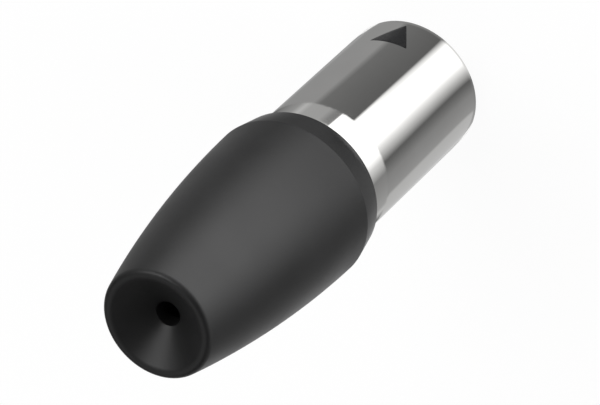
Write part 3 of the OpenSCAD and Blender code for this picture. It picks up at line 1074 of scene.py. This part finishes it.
@dataclass
class Studio:
    """Pale floor, soft lamps, glowing cards that paint reflections, and the camera at the photograph's angle."""

    camera_mm: tuple[float, float, float] = (242.35, 283.75, 457.26)
    azimuth_deg: float = 49.667
    elevation_deg: float = 48.760
    roll_deg: float = -133.184
    lens_mm: float = 272.8
    floor_size: float = 6.0
    horizon: float = 1.0
    zenith: float = 0.03
    fall_power: float = 6.0
    lean_deg: float = 20.0
    # Brightness of the glowing cards, row by row: painted reflections on the rim, barrel, collar, boot and the table
    # beyond.
    rim: tuple[Card, ...] = (Card(-90, -10, 0.35, 0.25), Card(-6, 20, 0.85, 0.85), Card(30, 90, 0.2, 0.5))
    barrel: tuple[Card, ...] = (
        Card(-90, -82, 0.36, 0.38), Card(-77, -47, 0.30, 0.33), Card(-41, -11.5, 0.18, 0.13),
        Card(-4.5, 13, 1.6, 1.6), Card(17.5, 22.5, 1.05, 0.62), Card(29.5, 31, 0.13, 0.14),
        Card(41, 56, 0.27, 0.34), Card(59, 78, 0.52, 0.55), Card(84, 90, 0.64, 0.62))
    white_far: Card = Card(-9.5, 13, 1.6, 1.6)
    collar: tuple[Card, ...] = (
        Card(-90, -82, 0.03, 0.04), Card(-72, -55, 0.20, 0.34), Card(-49, -48, 0.55, 0.52),
        Card(-44, -30, 0.42, 0.41), Card(-25, -21, 0.26, 0.25), Card(-20, 19, 1.6, 1.6),
        Card(26, 31, 0.80, 0.52), Card(36, 42, 0.26, 0.29), Card(54, 61, 0.36, 0.40),
        Card(66, 67, 0.58, 0.55), Card(77, 90, 0.14, 0.06))
    under_boot: tuple[Card, ...] = (
        Card(-90, -79, 1.1, 1.1), Card(-73, -66, 0.55, 0.45), Card(-61, -50, 0.20, 0.10), Card(-42, -25, 0.32, 0.28),
        Card(-15, 5, 0.06, 0.06), Card(28, 46, 0.42, 0.44), Card(52, 55, 0.12, 0.12), Card(62, 73, 0.95, 0.75),
        Card(79, 90, 1.5, 1.5))
    table_near: tuple[Card, ...] = (
        Card(-90, -82, 1.0, 0.8), Card(-76, -62, 0.38, 0.42), Card(-52, -36, 0.36, 0.24), Card(-15, 8, 1.75, 1.75),
        Card(33, 50, 0.24, 0.28), Card(76, 90, 0.80, 1.05))
    table: tuple[Card, ...] = (
        Card(-90, -83, 0.72, 0.36), Card(-76, -62, 0.30, 0.35), Card(-54, -42, 0.34, 0.28), Card(-19, 8, 2.5, 2.5),
        Card(36, 52, 0.22, 0.22), Card(75, 90, 0.62, 0.66))

    def toward_camera(self) -> float:
        """Angle round the plug's axis of the side that faces the camera."""
        return atan2(self.camera_mm[1], self.camera_mm[0])

    def camera(self) -> None:
        """Places the camera by its standing point, its direction and its roll about that."""
        az, el, roll = (radians(v) for v in (self.azimuth_deg, self.elevation_deg, self.roll_deg))
        back = Vector((cos(el) * cos(az), cos(el) * sin(az), sin(el)))
        level = Vector((-sin(az), cos(az), 0.0))
        upright = back.cross(level)
        right = level * cos(roll) + upright * sin(roll)
        up = back.cross(right)
        data = bpy.data.cameras.new("photo_camera")
        data.sensor_fit = "HORIZONTAL"
        data.sensor_width = 36.0
        data.lens = self.lens_mm
        data.clip_start = 0.01
        data.clip_end = 20.0
        obj = bpy.data.objects.new("photo_camera", data)
        bpy.context.scene.collection.objects.link(obj)
        turn = Matrix((right, up, back)).transposed().to_4x4()
        obj.matrix_world = Matrix.Translation(Vector(self.camera_mm) * MM) @ turn
        bpy.context.scene.camera = obj

    def room(self) -> None:
        """Soft light from all round: white at the height of the plug, dim overhead.

        The world's strength falls from horizon to zenith with a power of 1 - d, where d is the
        direction's share along an upright that leans a little from the camera's side. The camera,
        and anything clear, sees the world white all over. Metal sees it white at the plug's
        height, like the table; overhead it stays dim, so that the black funnel stays black.
        """
        world = bpy.data.worlds.new("soft_room")
        bpy.context.scene.world = world
        world.use_nodes = True
        tree = world.node_tree
        way = tree.nodes.new("ShaderNodeTexCoord").outputs["Generated"]
        along = tree.nodes.new("ShaderNodeVectorMath")
        along.operation = "DOT_PRODUCT"
        lean, away = radians(self.lean_deg), self.toward_camera() + pi
        along.inputs[1].default_value = (sin(lean) * cos(away), sin(lean) * sin(away), cos(lean))
        tree.links.new(way, along.inputs[0])
        fall = tree.nodes.new("ShaderNodeMapRange")
        fall.inputs["To Min"].default_value = 1.0
        fall.inputs["To Max"].default_value = 0.0
        tree.links.new(along.outputs["Value"], fall.inputs["Value"])
        power = tree.nodes.new("ShaderNodeMath")
        power.operation = "POWER"
        power.inputs[1].default_value = self.fall_power
        tree.links.new(fall.outputs[0], power.inputs[0])
        level = tree.nodes.new("ShaderNodeMath")
        level.operation = "MULTIPLY_ADD"
        level.inputs[1].default_value = self.horizon - self.zenith
        level.inputs[2].default_value = self.zenith
        tree.links.new(power.outputs[0], level.inputs[0])
        backdrop = tree.nodes.new("ShaderNodeMath")
        backdrop.operation = "MAXIMUM"
        tree.links.new(level.outputs[0], backdrop.inputs[0])
        rays = tree.nodes.new("ShaderNodeLightPath").outputs
        seen = tree.nodes.new("ShaderNodeMath")
        seen.operation = "MAXIMUM"
        tree.links.new(rays["Is Camera Ray"], seen.inputs[0])
        tree.links.new(rays["Is Transmission Ray"], seen.inputs[1])
        tree.links.new(seen.outputs[0], backdrop.inputs[1])
        tree.links.new(backdrop.outputs[0], tree.nodes["Background"].inputs["Strength"])
        tree.nodes["Background"].inputs["Color"].default_value = (1.0, 1.0, 1.0, 1.0)

    def floor(self) -> None:
        """A white table, lifted towards plain white where the camera sees it, with its shadow kept."""
        h = self.floor_size / 2
        mesh = bpy.data.meshes.new("table")
        mesh.from_pydata([(-h, -h, 0), (h, -h, 0), (h, h, 0), (-h, h, 0)], [], [(0, 1, 2, 3)])
        obj = bpy.data.objects.new("table", mesh)
        bpy.context.scene.collection.objects.link(obj)
        g = Graph("table_white")
        paper = g.add("BsdfDiffuse", Color=(0.86, 0.86, 0.86, 1.0))
        glow = g.add("Emission", Color=(1.0, 1.0, 1.0, 1.0), Strength=1.05)
        rays = g.add("LightPath").outputs
        seen = g.add("Math", {"operation": "MAXIMUM"})
        g.put(seen.inputs[0], rays["Is Camera Ray"])
        g.put(seen.inputs[1], rays["Is Glossy Ray"])
        clear = g.add("Math", {"operation": "MAXIMUM"})
        g.put(clear.inputs[0], seen.outputs[0])
        g.put(clear.inputs[1], rays["Is Transmission Ray"])
        share = g.add("Math", {"operation": "MULTIPLY"})
        g.put(share.inputs[0], clear.outputs[0])
        g.put(share.inputs[1], 0.88)
        mix = g.add("MixShader")
        g.put(mix.inputs[0], share.outputs[0])
        g.put(mix.inputs[1], paper.outputs[0])
        g.put(mix.inputs[2], glow.outputs[0])
        g.put(g.output.inputs["Surface"], mix.outputs[0])
        mesh.materials.append(g.material)

    def cards(self) -> None:
        """Glowing grey and white cards, no lamps, that lie round the plug and show only in its polish as painted
        reflections.

        A polished wall at angle f from the camera's side throws the view on to the table along
        angle 2 f, so a card from r (cos f, sin f) outwards along (cos 2 f, sin 2 f) fills one
        upright band of the reflection. One mat carries them all, with two painted reflection shades
        at each point, functions of f that change with the distance. A ray that is longer than one
        from the shell can be comes from the boot, and meets the boot's painted reflection.
        """
        f = np.radians(np.linspace(-90.0, 90.0, 721))[None, :]
        barrel_far = tuple(self.white_far if c.first == self.white_far.first else c for c in self.barrel)
        out = np.array([-0.6, 0.0, 0.2, 21.8, 22.3, 30.5, 33.5, 45.0, 120.0, 250.0, 1500.0]) * MM
        beyond = (self.table_near,) * 2 + (self.table,) * 3
        shell_side = (self.rim,) * 2 + (self.barrel, barrel_far) + (self.collar,) * 2 + beyond
        boot_side = (self.under_boot,) * 6 + beyond
        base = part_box("shell")[1].x + 0.2 * MM
        away = self.toward_camera()
        x = base * np.cos(away - f) + out[:, None] * np.cos(away - 2 * f)
        y = base * np.sin(away - f) + out[:, None] * np.sin(away - 2 * f)
        obj = grid_object("painted_reflection_mat", x, y, np.full_like(x, 0.00002), False, False, merge=False)
        reach = np.maximum(29.2 * MM, 1.04 * out / cos(radians(self.elevation_deg)))
        fields = {"shell_painted_reflection": self.card_shades(f, shell_side), "boot_painted_reflection": self.card_shades(f, boot_side),
                  "reach": np.broadcast_to(reach[:, None], x.shape)}
        for name, values in fields.items():
            layer = obj.data.attributes.new(name, "FLOAT", "POINT")
            layer.data.foreach_set("value", values.ravel().astype(np.float32))
        g = Graph("painted_reflection_glow")
        near, far, limit = (g.add("Attribute", {"attribute_name": name}).outputs["Fac"] for name in fields)
        long_ray = g.add("Math", {"operation": "GREATER_THAN"})
        g.put(long_ray.inputs[0], g.add("LightPath").outputs["Ray Length"])
        g.put(long_ray.inputs[1], limit)
        value = g.add("Mix", Factor=long_ray.outputs[0], A=near, B=far).outputs[0]
        # Painted reflection: the mat glows with these shades, though it is no lamp, and only glossy rays see it.
        glow = g.add("Emission", Color=(1.0, 1.0, 1.0, 1.0), Strength=value)
        g.put(g.output.inputs["Surface"], glow.outputs[0])
        obj.data.materials.append(g.material)
        obj.visible_camera = False
        obj.visible_diffuse = False
        obj.visible_shadow = False
        obj.visible_transmission = False

    @staticmethod
    def card_shades(f: np.ndarray, rows: tuple[tuple[Card, ...], ...]) -> np.ndarray:
        """Shades of the cards at each angle, for each row of the mat.

        Args:
            f: (1, N) angles from the camera's side.
            rows: the cards of each row.

        Returns:
            (rows, N) shades.
        """
        marks = [np.array([(c.start, c.first, c.end, c.last) for c in cards]).reshape(-1, 2) for cards in rows]
        return np.stack([np.interp(np.degrees(f[0]), m[:, 0], m[:, 1]) for m in marks])

    def lamp(self, name: str, azimuth_deg: float, height_deg: float, away_m: float, size_m: float,
             watts: float, mirrored: bool = False) -> None:
        """A square soft lamp that faces the plug from (cos h cos a, cos h sin a, sin h) times its distance.

        Args:
            name: the lamp's name.
            azimuth_deg: the angle a round the plug's axis.
            height_deg: the angle h above the table.
            away_m: its distance.
            size_m: its side.
            watts: its power.
            mirrored: glossy surfaces show it.
        """
        data = bpy.data.lights.new(name, "AREA")
        data.shape = "SQUARE"
        data.size = size_m
        data.energy = watts
        obj = bpy.data.objects.new(name, data)
        bpy.context.scene.collection.objects.link(obj)
        a, h = radians(azimuth_deg), radians(height_deg)
        way = Vector((cos(h) * cos(a), cos(h) * sin(a), sin(h)))
        obj.location = way * away_m + Vector((0.0, 0.0, 0.03))
        obj.rotation_euler = way.to_track_quat("Z", "Y").to_euler()
        obj.visible_glossy = mirrored

    def build(self) -> None:
        """Builds the stage and sets the colour management."""
        scene = bpy.context.scene
        scene.view_settings.view_transform = "Standard"
        self.room()
        self.floor()
        self.cards()
        self.lamp("side_lamp", 127.0, 54.5, 0.60, 0.34, 1.0, mirrored=True)
        self.lamp("crest_lamp", 229.7, 54.0, 0.60, 0.40, 0.22, mirrored=True)
        self.lamp("front_lamp", 20.0, 12.0, 0.70, 0.60, 2.6)
        self.lamp("left_lamp", 170.0, 14.0, 0.70, 0.60, 2.6)
        self.lamp("back_lamp", -100.0, 14.0, 0.70, 0.60, 2.6)
        self.camera()


def main() -> None:
    """Builds every sub-assembly in order."""
    logging.basicConfig(level=logging.INFO, format="%(name)s: %(message)s")
    Shell().build()
    for node in ("pin_1", "pin_2", "pin_3"):
        Contact(node).build()
    Insert().build()
    Seals().build()
    dress_node("chuck", ACETAL)
    Boot().build()
    Studio().build()


if __name__ == "__main__":
    main()
